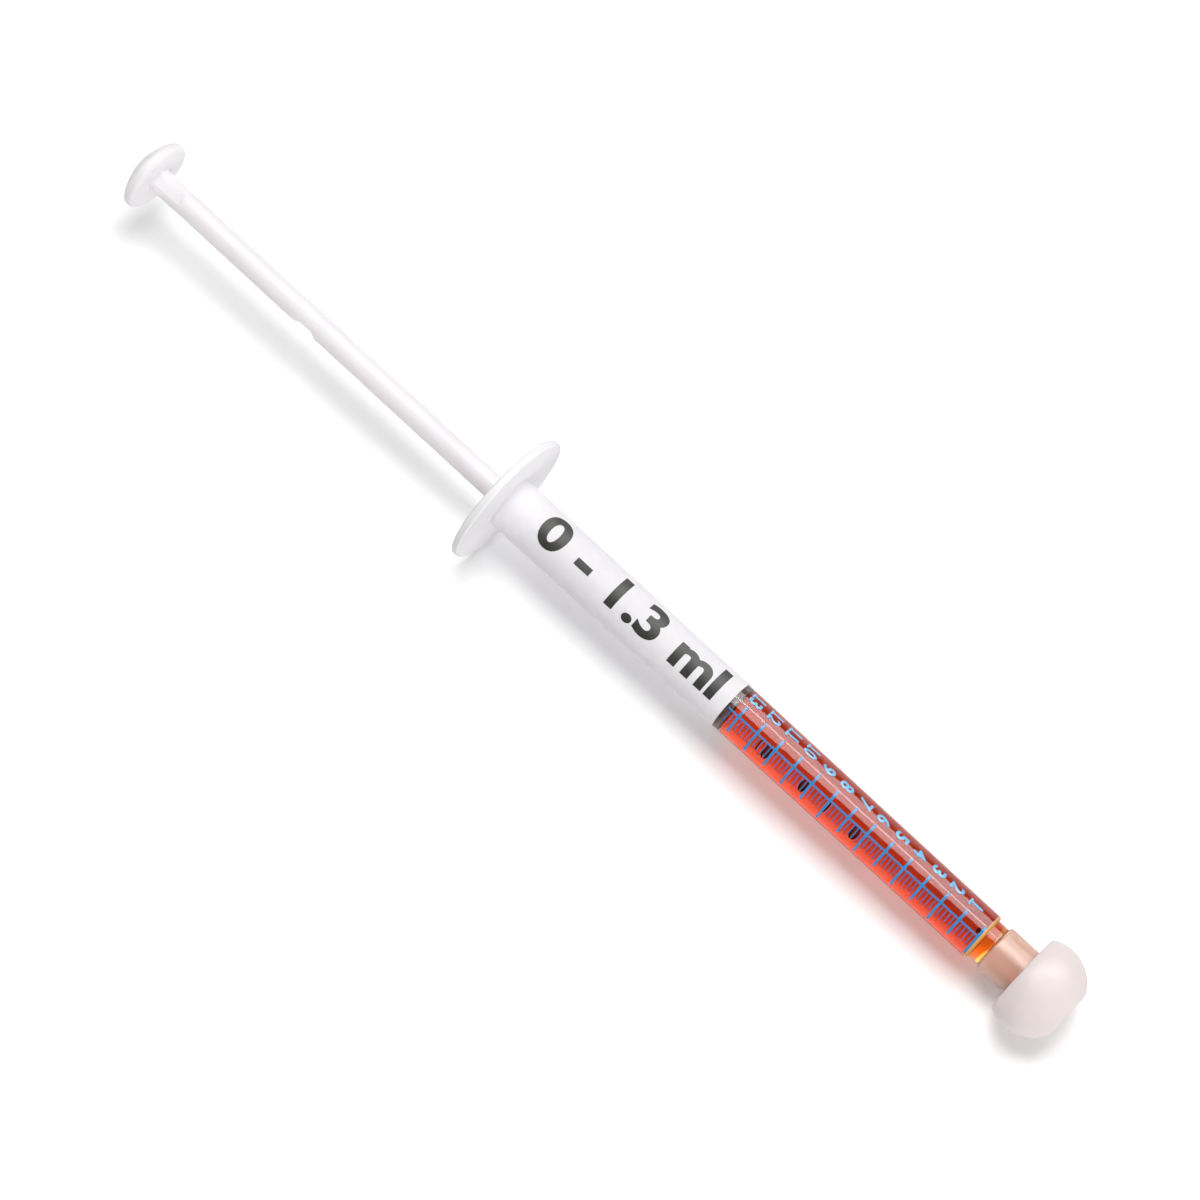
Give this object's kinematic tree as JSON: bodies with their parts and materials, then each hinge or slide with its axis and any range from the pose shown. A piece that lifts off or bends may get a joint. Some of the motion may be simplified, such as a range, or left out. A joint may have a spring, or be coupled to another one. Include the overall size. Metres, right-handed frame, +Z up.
{
  "type": "oral syringe",
  "caption": "Slim prefilled oral syringe: clear graduated barrel with a round finger flange, solid plunger rod with a domed thumb rest, clear tip collar and a mushroom tip cap.",
  "frame": {"origin": "centre of the barrel in the finger flange's front face", "axes": "+X along the barrel axis towards the nozzle; +Z up as it lies on a table"},
  "size_m": [0.183, 0.0219, 0.0218],
  "materials": {
    "clear_plastic": "clear moulded plastic, frosted on the flange, blue printed dose scale",
    "label_paper": "white satin film label",
    "red_oil": "clear dark red oil",
    "collar_plastic": "clear moulded plastic",
    "cap_plastic": "milky translucent plastic",
    "rod_plastic": "white moulded plastic",
    "seal_rubber": "grey-brown moulded rubber"
  },
  "bodies": {
    "barrel": {"barrel": "clear_plastic", "barrel_label": "label_paper", "oil_charge": "red_oil", "tip_collar": "collar_plastic"},
    "plunger": {"plunger_rod": "rod_plastic", "plunger_seal": "seal_rubber"},
    "cap": {"tip_cap": "cap_plastic"}
  },
  "joints": [
    {"name": "plunger_slide", "type": "slide", "parent": "barrel", "child": "plunger", "axis": [1, 0, 0], "range_m": [-0.0359, 0.0466], "deforming": ["oil_charge"]},
    {"name": "cap_pull", "type": "slide", "parent": "barrel", "child": "cap", "axis": [1, 0, 0], "range_m": [0, 0.02]}
  ]
}
